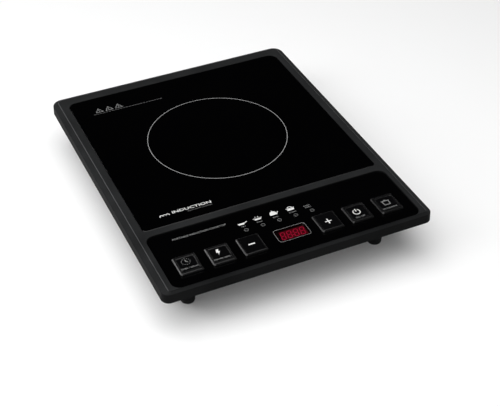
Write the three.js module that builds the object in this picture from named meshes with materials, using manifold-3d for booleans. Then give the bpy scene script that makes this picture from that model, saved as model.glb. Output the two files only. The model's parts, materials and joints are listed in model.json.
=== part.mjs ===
// Portable single-zone induction cooktop, built piece by piece.
// Millimetres, +Z up. The origin is on the table, under the middle of the cooktop: +Y points to its
// back, -Y to the user, +X to the user's right.

import * as THREE from 'three';
import { ConvexGeometry } from 'three/addons/geometries/ConvexGeometry.js';
import { mergeVertices } from 'three/addons/utils/BufferGeometryUtils.js';
import Module from 'manifold-3d';

const wasm = await Module();
wasm.setup();

// ---------------------------------------------------------------- driving dimensions

const WIDTH = 280;              // over the upper cover, left to right
const DEPTH = 350;              // over the upper cover, front to back
const TOP = 57;                 // height of the cover's flat top above the table
const CORNER = { front: 8, back: 12 };     // plan radius of the cover's corners
const GAP = 0.3;                // clearance between neighbouring pieces
const WALL = 2.4;               // wall of the two housing shells
const CORNER_STEPS = 4;         // straight pieces in a quarter-round corner
const SMALL_CORNER_STEPS = 2;
const HOLE_SIDES = 8;           // sides of screw holes and other hidden details
const SMALL_ROUND = 12;         // sides of small round pieces and holes
const MEDIUM_ROUND = 18;        // sides of the feet and the gland
const ROUND = 36;               // sides of large round pieces
const STEM_SIDES = 10;

const COVER = {
  bottom: 43,                   // lower edge of the upright side wall
  slopeWidth: 7,                // shallow slope between the side wall and the flat top
  slopeDrop: 2.7,
  frontSlopeWidth: 2.5,         // the slope is narrower along the front
};

// Openings of the cover. The frame is wider at the back than at the sides and front.
const GLASS = {
  width: 251.6, front: -85.3, back: 157, corner: { front: 4, back: 10 },
  drop: GAP, thickness: 4, ledge: 8,
};
const PANEL = {
  width: 256.6, front: -172.3, back: -93.8, corner: { front: 9, back: 9 },
  drop: 1.5, thickness: 2.5, ledge: 5,
};
const LEDGE_THICKNESS = 2.2;

// Base tub: a tray whose walls lean in towards its floor, most of all at the front.
const BASE = {
  rimWidth: 274.4, rimFront: -172.2, rimBack: 172.2,
  floorWidth: 246, floorFront: -136.5, floorBack: 165,
  bottom: 10, rim: COVER.bottom - GAP, corner: 10, edgeRadius: 3,
};
const BASE_FLOOR = BASE.bottom + WALL;

const INLET = { innermost: 10, outermost: 31, pitch: 7, slotWidth: 3.6, bridges: 3, bridgeWidth: 5 };
const OUTLET = {
  slotWidth: 3.4, pitch: 9, backStart: -100, backEnd: 62, sideStart: 70, sideEnd: 124,
  aboveFloor: 4, belowRim: 6, reach: 8,
};

const FOOT = {
  x: 101.7, y: 131.5, radius: 7.3, height: 4.7, bevel: 0.8, stemRadius: 2.7, stemTop: 11.5,
};
const FOOT_PAD = { radius: 7.6, height: 4 };     // pads of the tub that the feet stand under

const KEY = {
  width: 23.2, depth: 26, corner: 1.2, y: -145.4, top: 58.2, bevel: 1.3, travel: 0.6,
  flange: 1.4, flangeThickness: 1.4, wall: 1.6, roof: 2.2,
  stemRadius: 2.5, stemLength: 3, dishDepth: 0.5, dishBorder: { side: 2.6, end: 3.7 },
};
const KEYS = [
  { name: 'timer', x: -104.4, dished: true },
  { name: 'power_level', x: -72, dished: true },
  { name: 'minus', x: -40, dished: false },
  { name: 'plus', x: 40, dished: false },
  { name: 'on_off', x: 72, dished: true },
  { name: 'mode', x: 104.4, dished: true },
];
const SWITCH = { size: 6, height: 3.5, floor: 0.4, wellRadius: 2.2, plungerRadius: 1.7 };
const DISPLAY = { x: 2.7, y: -143.7, width: 31.8, depth: 16.6, corner: 2, thickness: 2 };
const GUIDE = {
  count: 5, pitch: 17.5, y: -121.8, radius: 1.4, footRadius: 2.4, footHeight: 1.2, bevel: 0.3,
};

const CONTROL_BOARD = { width: 232, front: -162.5, back: -101, bottom: 42, thickness: 1.6 };
const BUZZER = { x: 88, y: -115, radius: 6, height: 5, portRadius: 1.2, portDepth: 1 };
// Bosses of the fascia on the control board; the front ones stand between the keys' flanges.
const FASCIA_BOSSES = {
  back: { places: [-112, 0, 112], radius: 3, inset: 4 },
  front: { places: [-88.2, 0, 88.2], radius: 2, inset: 3 },
};
const ZONE = { y: 31.5 };       // centre of the cooking zone and of the coil
const COIL = { innerRadius: 24, outerRadius: 84, bottom: 47.2, thickness: 4, turns: 5 };
const CARRIER = { radius: 88, hole: 8, rim: 2, bottom: 44.4, thickness: 2.5, posts: 3, postRadius: 4 };
const AIR_GAP = { length: 36, width: 18, centre: 54, height: 10 };     // openings between the ferrites
const FERRITE = { count: 6, length: 52, width: 12, thickness: 4.5, innerRadius: 27 };
const SENSOR = { bottom: 40, stem: 4, cap: 7, capHeight: 2 };
const POWER_BOARD = {
  left: 10, right: 114, front: 4, back: 146, bottom: 18, thickness: 1.6, postInset: 6, postRadius: 3.5,
};
const POWER_PACKAGE = { thickness: 5, standOff: 3, tabHole: 1.7, legHalf: 0.6, legDepth: 0.8 };
const CHOKE = { x: 92, y: 28, radius: 9, windingRadius: 4.5 };
const TRANSFORMER = {
  x: 58, y: 26, core: { halfWidth: 10, halfDepth: 3, height: 16 },
  winding: { halfWidth: 7, halfDepth: 8, bottom: 3, top: 13 },
};
const FAN = {
  x: -68, y: 104, size: 84, bottom: BASE_FLOOR + 0.6, height: 20, bore: 39.5,
  hub: 15, tip: 37.5, blades: 7, bladeThickness: 1.6, bladeWidth: 17, bladeAngle: 42,
  corner: 6, seatHeight: 2, strutWidth: 4, strutHeight: 1.6, hubBevel: 1.5,
};
const GLAND = {
  x: 88, z: 27, bore: 3.6, sleeve: 5.7, sleeveLength: 12, flange: 8, flangeThickness: 3.2, bevel: 1.2,
  inset: 0.8,
};
const SCREWS = [[-112, -89.5], [112, -89.5], [-112, 156.5], [112, 156.5]];
const SCREW = {
  radius: 1.5, threadTop: 12, tip: 2, headRadius: 3, headHeight: 1.8, headBevel: 0.8,
  clearHole: 2, bossHole: 1.8, bossHoleDepth: 16, bossRadius: 4,
};

const glassTop = TOP - GLASS.drop;
const glassBottom = glassTop - GLASS.thickness;
const panelTop = TOP - PANEL.drop;
const panelBottom = panelTop - PANEL.thickness;
const controlBoardTop = CONTROL_BOARD.bottom + CONTROL_BOARD.thickness;
const powerBoardTop = POWER_BOARD.bottom + POWER_BOARD.thickness;

// ---------------------------------------------------------------- geometry helpers

function solid(geometry) {
  const bare = geometry.clone();
  bare.deleteAttribute('normal');
  bare.deleteAttribute('uv');
  const merged = mergeVertices(bare, 1e-4);
  const corners = Array.from(merged.index.array);
  const triangles = [];
  for (let i = 0; i < corners.length; i += 3) {
    const [a, b, c] = corners.slice(i, i + 3);
    if (a !== b && b !== c && c !== a) {
      triangles.push(a, b, c);
    }
  }
  return new wasm.Manifold(new wasm.Mesh({
    numProp: 3,
    vertProperties: new Float32Array(merged.attributes.position.array),
    triVerts: new Uint32Array(triangles),
  }));
}

function join(...solids) {
  return solids.reduce((whole, next) => whole.add(next));
}

function cut(body, ...tools) {
  return tools.reduce((rest, tool) => rest.subtract(tool), body);
}

function toGeometry(body) {
  const mesh = body.getMesh();
  const geometry = new THREE.BufferGeometry();
  geometry.setAttribute('position', new THREE.BufferAttribute(mesh.vertProperties, 3));
  geometry.setIndex(new THREE.BufferAttribute(mesh.triVerts, 1));
  geometry.computeVertexNormals();
  return geometry;
}

// Rectangle with round corners, between two corners of its plan.
function outline(left, front, right, back, radius, backRadius = radius) {
  const shape = new THREE.Shape();
  shape.absarc(right - radius, front + radius, radius, -Math.PI / 2, 0);
  shape.absarc(right - backRadius, back - backRadius, backRadius, 0, Math.PI / 2);
  shape.absarc(left + backRadius, back - backRadius, backRadius, Math.PI / 2, Math.PI);
  shape.absarc(left + radius, front + radius, radius, Math.PI, 1.5 * Math.PI);
  shape.closePath();
  return shape;
}

function centredOutline(x, y, width, depth, radius) {
  return outline(x - width / 2, y - depth / 2, x + width / 2, y + depth / 2, radius);
}

function slab(shape, bottom, top, curveSegments = CORNER_STEPS) {
  const depth = top - bottom;
  const geometry = new THREE.ExtrudeGeometry(shape, { depth, bevelEnabled: false, curveSegments });
  return solid(geometry.translate(0, 0, bottom));
}

// Slab whose upper edge slopes or bevels in; the same bevel below is hidden by a flat cut.
function bevelledSlab(shape, bottom, top, bevelWidth, bevelHeight, curveSegments = CORNER_STEPS) {
  const depth = top - bottom;
  const geometry = new THREE.ExtrudeGeometry(shape, {
    depth, bevelEnabled: true, bevelThickness: bevelHeight, bevelSize: bevelWidth,
    bevelOffset: 0, bevelSegments: 1, curveSegments,
  });
  geometry.translate(0, 0, top - depth - bevelHeight);
  return solid(geometry);
}

function box(left, front, bottom, right, back, top) {
  const geometry = new THREE.BoxGeometry(right - left, back - front, top - bottom);
  return solid(geometry.translate((left + right) / 2, (front + back) / 2, (bottom + top) / 2));
}

// Upright cylinder on the XY plane.
function disc(x, y, radius, bottom, top, segments = SMALL_ROUND) {
  const geometry = new THREE.CylinderGeometry(radius, radius, top - bottom, segments);
  return solid(geometry.rotateX(Math.PI / 2).translate(x, y, (bottom + top) / 2));
}

// Solid of revolution about Z, from a profile of [radius, height] pairs.
function turned(profile, segments, x = 0, y = 0) {
  const points = profile.map(([radius, height]) => new THREE.Vector2(radius, height));
  const geometry = new THREE.LatheGeometry(points, segments);
  return solid(geometry.rotateX(Math.PI / 2).translate(x, y, 0));
}

function atCorners(x, y, make) {
  return [[-x, -y], [x, -y], [-x, y], [x, y]].map(([cx, cy]) => make(cx, cy));
}

// ---------------------------------------------------------------- scene assembly

const cooktop = new THREE.Group();

function finish(color, roughness, metalness = 0) {
  return () => new THREE.MeshStandardMaterial({ color, roughness, metalness });
}

const FINISHES = {
  housing: finish(0x2a2b2c, 0.6),
  base: finish(0x17181a, 0.65),
  glass: finish(0x030304, 0.06),
  panel: finish(0x060607, 0.2),
  key: finish(0x1b1c1e, 0.45),
  display: finish(0x300406, 0.15),
  white: finish(0xd8d8d4, 0.5),
  circuit: finish(0x1f5a34, 0.5),
  switch: finish(0x111111, 0.5),
  clear: finish(0xd0d4d6, 0.15),
  carrier: finish(0x26221f, 0.6),
  copper: finish(0xb5642e, 0.35, 0.9),
  ferrite: finish(0x3b3d40, 0.7),
  mica: finish(0xb9a37a, 0.6),
  aluminium: finish(0xaeb2b6, 0.35, 0.9),
  component: finish(0x16171a, 0.45),
  capacitor: finish(0xa8742c, 0.45),
  rubber: finish(0x0d0d0e, 0.8),
  steel: finish(0x8d9094, 0.35, 0.9),
};

function add(name, body, finishName) {
  const mesh = new THREE.Mesh(toGeometry(body), FINISHES[finishName]());
  mesh.name = name;
  cooktop.add(mesh);
}

// ---------------------------------------------------------------- housing shells

// The cover's outer form: upright walls, then a shallow slope up to the flat top. The sloping block
// reaches past the walls, which trim it, so that the slope is narrower along the front.
function crownedBlock(inset, bottom, top) {
  const right = WIDTH / 2 - inset;
  const back = DEPTH / 2 - inset;
  const plan = outline(-right, -back, right, back, CORNER.front - inset, CORNER.back - inset);
  const walls = slab(plan, bottom, top);
  const overrun = 1;
  const slope = COVER.slopeWidth;
  const ridge = outline(
    -right + slope, -back + COVER.frontSlopeWidth, right - slope, back - slope,
    CORNER.front - slope, CORNER.back - slope,
  );
  const reach = slope + overrun;
  const crown = bevelledSlab(ridge, bottom, top, reach, COVER.slopeDrop * reach / slope);
  return walls.intersect(crown);
}

function openingOutline(opening, inset) {
  const half = opening.width / 2 - inset;
  const smallestCorner = 2;
  const [frontCorner, backCorner] = [opening.corner.front, opening.corner.back].map((corner) => (
    Math.max(corner - inset, smallestCorner)
  ));
  return outline(-half, opening.front + inset, half, opening.back - inset, frontCorner, backCorner);
}

// Recess for a plate: an upright rim with a ledge at its foot.
function recessRim(opening, ledgeTop) {
  return slab(openingOutline(opening, -LEDGE_THICKNESS), ledgeTop - LEDGE_THICKNESS, TOP - WALL + 1);
}

function recessCuts(opening, ledgeTop) {
  return [
    slab(openingOutline(opening, 0), ledgeTop, TOP + 1),
    slab(openingOutline(opening, opening.ledge), COVER.bottom - 1, TOP + 1),
  ];
}

function upperCover() {
  const glassLedge = glassBottom - GAP;
  const panelLedge = panelBottom - GAP;
  const outer = crownedBlock(0, COVER.bottom, TOP);
  const inner = crownedBlock(WALL, COVER.bottom - 1, TOP - WALL);
  const rims = join(recessRim(GLASS, glassLedge), recessRim(PANEL, panelLedge));
  const shell = join(cut(outer, inner), rims.intersect(outer));
  const open = cut(shell, ...recessCuts(GLASS, glassLedge), ...recessCuts(PANEL, panelLedge));
  const bosses = SCREWS.map(([x, y]) => (
    disc(x, y, SCREW.bossRadius, BASE_FLOOR + GAP, glassLedge - 1)
  ));
  const holes = SCREWS.map(([x, y]) => (
    disc(x, y, SCREW.bossHole, BASE_FLOOR, BASE_FLOOR + SCREW.bossHoleDepth, HOLE_SIDES)
  ));
  return cut(join(open, ...bosses), ...holes);
}

// Tub form: the convex hull of round-cornered outlines, from the rim down to a narrower floor whose
// edge is rounded off.
function tubBlock(inset, bottom, top) {
  const rise = BASE.rim - BASE.bottom;
  const level = (height, extraInset) => {
    const share = (height - BASE.bottom) / rise;
    const lean = (atRim, atFloor) => THREE.MathUtils.lerp(atFloor, atRim, share);
    const half = lean(BASE.rimWidth, BASE.floorWidth) / 2 - inset - extraInset;
    const front = lean(BASE.rimFront, BASE.floorFront) + inset + extraInset;
    const back = lean(BASE.rimBack, BASE.floorBack) - inset - extraInset;
    const plan = outline(-half, front, half, back, BASE.corner - inset);
    return plan.getPoints(CORNER_STEPS).map((point) => new THREE.Vector3(point.x, point.y, height));
  };
  const { edgeRadius } = BASE;
  const roundingMiddle = 0.3 * edgeRadius;      // where a quarter circle is half way round
  return solid(new ConvexGeometry([
    ...level(top, 0), ...level(bottom + edgeRadius, 0),
    ...level(bottom + roundingMiddle, roundingMiddle), ...level(bottom, edgeRadius),
  ]));
}

// Air inlet under the fan: rings of slots with three bridges.
function inletSlots() {
  const slots = [];
  const { innermost, outermost, pitch, slotWidth, bridges, bridgeWidth } = INLET;
  for (let radius = innermost; radius <= outermost; radius += pitch) {
    const bridgeAngle = bridgeWidth / radius;
    for (let i = 0; i < bridges; i += 1) {
      const start = (2 * Math.PI * i) / bridges + bridgeAngle / 2;
      const end = start + (2 * Math.PI) / bridges - bridgeAngle;
      const slot = new THREE.Shape();
      slot.absarc(FAN.x, FAN.y, radius + slotWidth, start, end, false);
      slot.absarc(FAN.x, FAN.y, radius, end, start, true);
      slot.closePath();
      slots.push(slab(slot, BASE.bottom - 1, BASE_FLOOR + 1, 5));
    }
  }
  return slots;
}

// Air outlet: upright slots through the back wall and the rear of both side walls.
function outletSlots() {
  const slots = [];
  const { slotWidth, pitch, backStart, backEnd, sideStart, sideEnd, reach } = OUTLET;
  const low = BASE_FLOOR + OUTLET.aboveFloor;
  const high = BASE.rim - OUTLET.belowRim;
  for (let x = backStart; x <= backEnd; x += pitch) {
    slots.push(box(x, BASE.floorBack - reach, low, x + slotWidth, BASE.rimBack + 1, high));
  }
  const outside = BASE.rimWidth / 2 + 1;
  const inside = BASE.floorWidth / 2 - reach;
  for (let y = sideStart; y <= sideEnd; y += pitch) {
    slots.push(box(-outside, y, low, -inside, y + slotWidth, high));
    slots.push(box(inside, y, low, outside, y + slotWidth, high));
  }
  return slots;
}

function carrierPosts() {
  const reach = CARRIER.radius - CARRIER.postRadius;
  return Array.from({ length: CARRIER.posts }, (_, i) => {
    const angle = Math.PI / 2 + (2 * Math.PI * i) / CARRIER.posts;
    return [reach * Math.cos(angle), ZONE.y + reach * Math.sin(angle)];
  });
}

function baseHousing() {
  const outer = tubBlock(0, BASE.bottom, BASE.rim);
  const inner = tubBlock(WALL, BASE_FLOOR, BASE.rim + 1);
  const pads = atCorners(FOOT.x, FOOT.y, (x, y) => (
    disc(x, y, FOOT_PAD.radius, FOOT.height + GAP, BASE_FLOOR + FOOT_PAD.height, MEDIUM_ROUND)
  ));
  const tub = cut(join(outer, ...pads), inner);
  const posts = carrierPosts().map(([x, y]) => (
    disc(x, y, CARRIER.postRadius, BASE_FLOOR - 1, CARRIER.bottom - GAP)
  ));
  const { left, right, front, back, postInset, postRadius } = POWER_BOARD;
  const boardPosts = [left + postInset, right - postInset].flatMap((x) => (
    [front + postInset, back - postInset].map((y) => (
      disc(x, y, postRadius, BASE_FLOOR - 1, POWER_BOARD.bottom - GAP, STEM_SIDES)
    ))
  ));
  const stems = atCorners(FOOT.x, FOOT.y, (x, y) => (
    disc(x, y, FOOT.stemRadius + GAP, 0, BASE_FLOOR + FOOT_PAD.height + 1)
  ));
  const screwHoles = SCREWS.map(([x, y]) => (
    disc(x, y, SCREW.clearHole, BASE.bottom - 1, BASE_FLOOR + 1, HOLE_SIDES)
  ));
  const glandRadius = GLAND.sleeve + GAP;
  const glandReach = 30;
  const bore = new THREE.CylinderGeometry(glandRadius, glandRadius, glandReach, MEDIUM_ROUND);
  const glandHole = solid(bore.translate(GLAND.x, BASE.floorBack, GLAND.z));
  return cut(
    join(tub, ...posts, ...boardPosts),
    ...stems, ...screwHoles, glandHole, ...inletSlots(), ...outletSlots(),
  );
}

function foot(x, y) {
  const { radius, height, bevel, stemRadius, stemTop } = FOOT;
  return turned([
    [0, 0], [radius - bevel, 0], [radius, bevel], [radius, height], [stemRadius, height],
    [stemRadius, stemTop], [0, stemTop],
  ], MEDIUM_ROUND, x, y);
}

function screw(x, y) {
  const { radius, threadTop, tip, headRadius, headHeight, headBevel } = SCREW;
  const headTop = BASE.bottom - GAP;
  const headBottom = headTop - headHeight;
  const thread = BASE_FLOOR + threadTop;
  return turned([
    [0, headBottom], [headRadius - headBevel, headBottom], [headRadius, headBottom + headBevel],
    [headRadius, headTop], [radius, headTop], [radius, thread], [0, thread + tip],
  ], STEM_SIDES, x, y);
}

// Strain-relief bush through the back wall. The cord would pass through its bore.
function cordGland() {
  const { bore, sleeve, sleeveLength, flange, flangeThickness, bevel } = GLAND;
  const length = sleeveLength + flangeThickness;
  const profile = [
    [bore, 0], [sleeve, 0], [sleeve, sleeveLength], [flange, sleeveLength], [flange, length - bevel],
    [flange - bevel, length], [bore, length], [bore, 0],
  ];
  const points = profile.map(([radius, height]) => new THREE.Vector2(radius, height));
  const geometry = new THREE.LatheGeometry(points, MEDIUM_ROUND);
  return solid(geometry.translate(GLAND.x, DEPTH / 2 - GLAND.inset - length, GLAND.z));
}

// ---------------------------------------------------------------- top plates and control panel

function glassPlate() {
  return slab(openingOutline(GLASS, GAP), glassBottom, glassTop);
}

function keyHole(x) {
  const { width, depth, y, corner } = KEY;
  const hole = centredOutline(x, y, width + 2 * GAP, depth + 2 * GAP, corner + GAP);
  return slab(hole, panelBottom - 1, TOP, SMALL_CORNER_STEPS);
}

function guideX(index) {
  return (index - (GUIDE.count - 1) / 2) * GUIDE.pitch;
}

function controlFascia() {
  const plate = slab(openingOutline(PANEL, GAP), panelBottom, panelTop);
  const bossRow = ({ places, radius }, y) => places.map((x) => (
    disc(x, y, radius, controlBoardTop + GAP, panelBottom + 1, HOLE_SIDES)
  ));
  const bosses = [
    ...bossRow(FASCIA_BOSSES.back, CONTROL_BOARD.back - FASCIA_BOSSES.back.inset),
    ...bossRow(FASCIA_BOSSES.front, CONTROL_BOARD.front + FASCIA_BOSSES.front.inset),
  ];
  const window = centredOutline(
    DISPLAY.x, DISPLAY.y, DISPLAY.width + 2 * GAP, DISPLAY.depth + 2 * GAP, DISPLAY.corner + GAP,
  );
  const guideHoles = Array.from({ length: GUIDE.count }, (_, i) => (
    disc(guideX(i), GUIDE.y, GUIDE.radius + GAP, panelBottom - 1, TOP, STEM_SIDES)
  ));
  return cut(
    join(plate, ...bosses),
    ...KEYS.map((key) => keyHole(key.x)),
    slab(window, panelBottom - 1, TOP, SMALL_CORNER_STEPS),
    ...guideHoles,
  );
}

// Hollow key cap with bevelled edges, a retaining flange under the fascia and a stem over its switch.
function keyCap({ x, dished }) {
  const { width, depth, corner, y, top, bevel, flange, wall } = KEY;
  const flangeTop = panelBottom - GAP;
  const flangeBottom = flangeTop - KEY.flangeThickness;
  const square = (inset, radius) => centredOutline(x, y, width - 2 * inset, depth - 2 * inset, radius);
  const block = (inset, low, high) => box(
    x - width / 2 + inset, y - depth / 2 + inset, low, x + width / 2 - inset, y + depth / 2 - inset, high,
  );
  // The bevelled block is a little larger than the walls, which trim it.
  const overrun = 0.4;
  const walls = slab(square(0, corner), flangeBottom, top, SMALL_CORNER_STEPS);
  const crown = bevelledSlab(
    square(bevel, corner / 2), flangeBottom, top, bevel + overrun, bevel + overrun, SMALL_CORNER_STEPS,
  );
  const rim = block(-flange, flangeBottom, flangeTop);
  const hollow = block(wall, flangeBottom - 1, top - KEY.roof);
  const stem = disc(x, y, KEY.stemRadius, flangeBottom - KEY.stemLength, top - KEY.roof / 2, STEM_SIDES);
  const cap = join(cut(join(walls.intersect(crown), rim), hollow), stem);
  if (!dished) {
    return cap;
  }
  const { side, end } = KEY.dishBorder;
  const dishPlan = centredOutline(x, y, width - 2 * side, depth - 2 * end, corner);
  return cut(cap, slab(dishPlan, top - KEY.dishDepth, top + 1, 1));
}

// Tactile switch: a square body with a well for its plunger.
function switchBody({ x }) {
  const half = SWITCH.size / 2;
  const bottom = controlBoardTop + GAP;
  const top = bottom + SWITCH.height;
  const body = box(x - half, KEY.y - half, bottom, x + half, KEY.y + half, top);
  return cut(body, disc(x, KEY.y, SWITCH.wellRadius, bottom + SWITCH.floor, top + 1));
}

function switchPlunger({ x }) {
  const stemBottom = panelBottom - GAP - KEY.flangeThickness - KEY.stemLength;
  const bottom = controlBoardTop + GAP + SWITCH.floor + KEY.travel + GAP;
  return disc(x, KEY.y, SWITCH.plungerRadius, bottom, stemBottom - GAP);
}

function displayWindow() {
  const { x, y, width, depth, corner, thickness } = DISPLAY;
  const plan = centredOutline(x, y, width, depth, corner);
  return slab(plan, panelTop - thickness, panelTop, SMALL_CORNER_STEPS);
}

function displayModule() {
  const { x, y, width, depth, corner, thickness } = DISPLAY;
  const top = panelTop - thickness - GAP;
  return slab(centredOutline(x, y, width, depth, corner), controlBoardTop + GAP, top, SMALL_CORNER_STEPS);
}

function lightGuide(index) {
  const { radius, footRadius, footHeight, bevel } = GUIDE;
  const bottom = controlBoardTop + GAP;
  return turned([
    [0, bottom], [footRadius, bottom], [footRadius, bottom + footHeight], [radius, bottom + footHeight],
    [radius, panelTop - bevel], [radius - bevel, panelTop], [0, panelTop],
  ], STEM_SIDES, guideX(index), GUIDE.y);
}

function controlBoard() {
  const half = CONTROL_BOARD.width / 2;
  const plan = outline(-half, CONTROL_BOARD.front, half, CONTROL_BOARD.back, 2);
  return slab(plan, CONTROL_BOARD.bottom, controlBoardTop, SMALL_CORNER_STEPS);
}

function buzzer() {
  const { x, y, radius, height, portRadius, portDepth } = BUZZER;
  const bottom = controlBoardTop + GAP;
  const top = bottom + height;
  return turned([
    [0, bottom], [radius, bottom], [radius, top], [portRadius, top], [portRadius, top - portDepth],
    [0, top - portDepth],
  ], SMALL_ROUND, x, y);
}

// ---------------------------------------------------------------- cooking zone

// Flat disc coil, with its bundles of turns as ridges on the upper face.
function inductionCoil() {
  const { innerRadius, outerRadius, bottom, thickness, turns } = COIL;
  const top = bottom + thickness;
  const pitch = (outerRadius - innerRadius) / turns;
  const groove = 0.6;
  const ridges = Array.from({ length: turns }, (_, i) => {
    const outer = outerRadius - i * pitch;
    return [[outer, top - groove], [outer - pitch / 2, top]];
  });
  const profile = [
    [innerRadius, bottom], [outerRadius, bottom], ...ridges.flat(), [innerRadius, top - groove],
    [innerRadius, bottom],
  ];
  return turned(profile, ROUND, 0, ZONE.y);
}

function ferriteAngle(index) {
  return (2 * Math.PI * (index + 0.5)) / FERRITE.count + Math.PI / 6;
}

// Spoked tray that holds the coil, with a rim and a hole for the sensor.
function coilCarrier() {
  const { radius, hole, rim, bottom, thickness } = CARRIER;
  const top = bottom + thickness;
  const rimTop = COIL.bottom + COIL.thickness;
  const profile = [
    [hole, bottom], [radius, bottom], [radius, rimTop], [radius - rim, rimTop],
    [radius - rim, top], [hole, top], [hole, bottom],
  ];
  const tray = turned(profile, ROUND, 0, ZONE.y);
  const airGaps = Array.from({ length: FERRITE.count }, (_, i) => {
    const angle = ferriteAngle(i) + Math.PI / FERRITE.count;
    const gap = new THREE.BoxGeometry(AIR_GAP.length, AIR_GAP.width, AIR_GAP.height);
    gap.translate(AIR_GAP.centre, 0, bottom).rotateZ(angle);
    return solid(gap.translate(0, ZONE.y, 0));
  });
  return cut(tray, ...airGaps);
}

function ferriteBar(index) {
  const { length, width, thickness, innerRadius } = FERRITE;
  const bar = new THREE.BoxGeometry(length, width, thickness);
  bar.translate(innerRadius + length / 2, 0, CARRIER.bottom - GAP - thickness / 2);
  return solid(bar.rotateZ(ferriteAngle(index)).translate(0, ZONE.y, 0));
}

function micaSheet() {
  const bottom = COIL.bottom + COIL.thickness + GAP;
  return disc(0, ZONE.y, CARRIER.radius - 1, bottom, bottom + 0.5, ROUND);
}

function temperatureSensor() {
  const top = COIL.bottom + COIL.thickness;
  const { bottom, stem, cap, capHeight } = SENSOR;
  return turned([
    [0, bottom], [stem, bottom], [stem, top - capHeight], [cap, top - capHeight],
    [cap, top - 0.6], [cap - 1, top], [0, top],
  ], 14, 0, ZONE.y);
}

// ---------------------------------------------------------------- electronics in the base

function powerBoard() {
  const plan = outline(POWER_BOARD.left, POWER_BOARD.front, POWER_BOARD.right, POWER_BOARD.back, 2);
  return slab(plan, POWER_BOARD.bottom, powerBoardTop, SMALL_CORNER_STEPS);
}

const onBoard = powerBoardTop + GAP;
const HEATSINK = { left: 18, right: 84, front: 92, back: 140, top: onBoard + 17, fins: 11 };

function heatsink() {
  const { left, right, front, back, top, fins } = HEATSINK;
  const plate = box(left, front, onBoard, right, back, onBoard + 4);
  const finThickness = 1.6;
  const pitch = (right - left - finThickness) / (fins - 1);
  const blades = Array.from({ length: fins }, (_, i) => {
    const x = left + i * pitch;
    return box(x, front, onBoard + 3, x + finThickness, back, top);
  });
  return join(plate, ...blades);
}

// Power package: a moulded block standing against the heatsink, with a tab hole and three legs.
function powerPackage(x, width, height) {
  const { thickness, standOff, tabHole, legHalf, legDepth } = POWER_PACKAGE;
  const back = HEATSINK.front - GAP;
  const front = back - thickness;
  const bottom = onBoard + standOff;
  const body = box(x - width / 2, front, bottom, x + width / 2, back, bottom + height);
  const hole = new THREE.CylinderGeometry(tabHole, tabHole, 2 * thickness + 2, STEM_SIDES);
  hole.translate(x, back - 2, bottom + height - 4);
  const legs = [-0.3, 0, 0.3].map((share) => {
    const legX = x + share * width;
    const legFront = front + 2;
    return box(legX - legHalf, legFront, onBoard, legX + legHalf, legFront + legDepth, bottom + 1);
  });
  return join(cut(body, solid(hole)), ...legs);
}

function filmCapacitor(x, y, width, depth, height) {
  const plan = centredOutline(x, y, width, depth, 1.5);
  return slab(plan, onBoard, onBoard + height, SMALL_CORNER_STEPS);
}

function choke() {
  const ring = new THREE.TorusGeometry(CHOKE.radius, CHOKE.windingRadius, HOLE_SIDES, MEDIUM_ROUND);
  return solid(ring.translate(CHOKE.x, CHOKE.y, onBoard + CHOKE.windingRadius));
}

// Small supply transformer: a wound bobbin between the flanges of its core.
function transformer() {
  const { x, y, core, winding } = TRANSFORMER;
  const block = ({ halfWidth, halfDepth }, bottom, top) => (
    box(x - halfWidth, y - halfDepth, onBoard + bottom, x + halfWidth, y + halfDepth, onBoard + top)
  );
  return join(block(core, 0, core.height), block(winding, winding.bottom, winding.top));
}

function fanHousing() {
  const { x, y, size, corner, bottom, height, bore, hub, seatHeight, strutWidth, strutHeight } = FAN;
  const plan = centredOutline(x, y, size, size, corner);
  const frame = slab(plan, bottom, bottom + height, SMALL_CORNER_STEPS);
  const hollow = disc(x, y, bore, bottom - 1, bottom + height + 1, ROUND);
  const motorSeat = disc(x, y, hub, bottom, bottom + seatHeight, MEDIUM_ROUND);
  const strut = (halfX, halfY) => (
    box(x - halfX, y - halfY, bottom, x + halfX, y + halfY, bottom + strutHeight)
  );
  const struts = join(strut(bore + 1, strutWidth / 2), strut(strutWidth / 2, bore + 1));
  return join(cut(frame, hollow), motorSeat, struts);
}

function fanRotor() {
  const { x, y, bottom, height, hub, tip, blades, seatHeight, hubBevel } = FAN;
  const low = bottom + seatHeight + 2 * GAP;
  const high = bottom + height - 1.5;
  const drum = turned([
    [0, low], [hub, low], [hub, high - hubBevel], [hub - hubBevel, high], [0, high],
  ], MEDIUM_ROUND);
  const root = hub - 2;
  const bladeSolids = Array.from({ length: blades }, (_, i) => {
    const blade = new THREE.BoxGeometry(tip - root, FAN.bladeThickness, FAN.bladeWidth);
    blade.rotateX(THREE.MathUtils.degToRad(FAN.bladeAngle));
    blade.translate((root + tip) / 2, 0, (low + high) / 2);
    return solid(blade.rotateZ((2 * Math.PI * i) / blades));
  });
  const sweep = disc(0, 0, tip, low, high, ROUND);
  return join(drum, ...bladeSolids).intersect(sweep).translate([x, y, 0]);
}

// ---------------------------------------------------------------- every piece by name

add('base_housing', baseHousing(), 'base');
add('upper_cover', upperCover(), 'housing');
add('glass_plate', glassPlate(), 'glass');
add('control_fascia', controlFascia(), 'panel');
add('display_window', displayWindow(), 'display');
add('display_module', displayModule(), 'white');
add('control_board', controlBoard(), 'circuit');
add('buzzer', buzzer(), 'component');

KEYS.forEach((key) => {
  add(`key_${key.name}`, keyCap(key), 'key');
  add(`switch_${key.name}`, switchBody(key), 'switch');
  add(`plunger_${key.name}`, switchPlunger(key), 'white');
});

for (let i = 0; i < GUIDE.count; i += 1) {
  add(`light_guide_${i + 1}`, lightGuide(i), 'clear');
}

add('coil_carrier', coilCarrier(), 'carrier');
add('induction_coil', inductionCoil(), 'copper');
for (let i = 0; i < FERRITE.count; i += 1) {
  add(`ferrite_bar_${i + 1}`, ferriteBar(i), 'ferrite');
}
add('mica_sheet', micaSheet(), 'mica');
add('temperature_sensor', temperatureSensor(), 'white');

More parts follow.
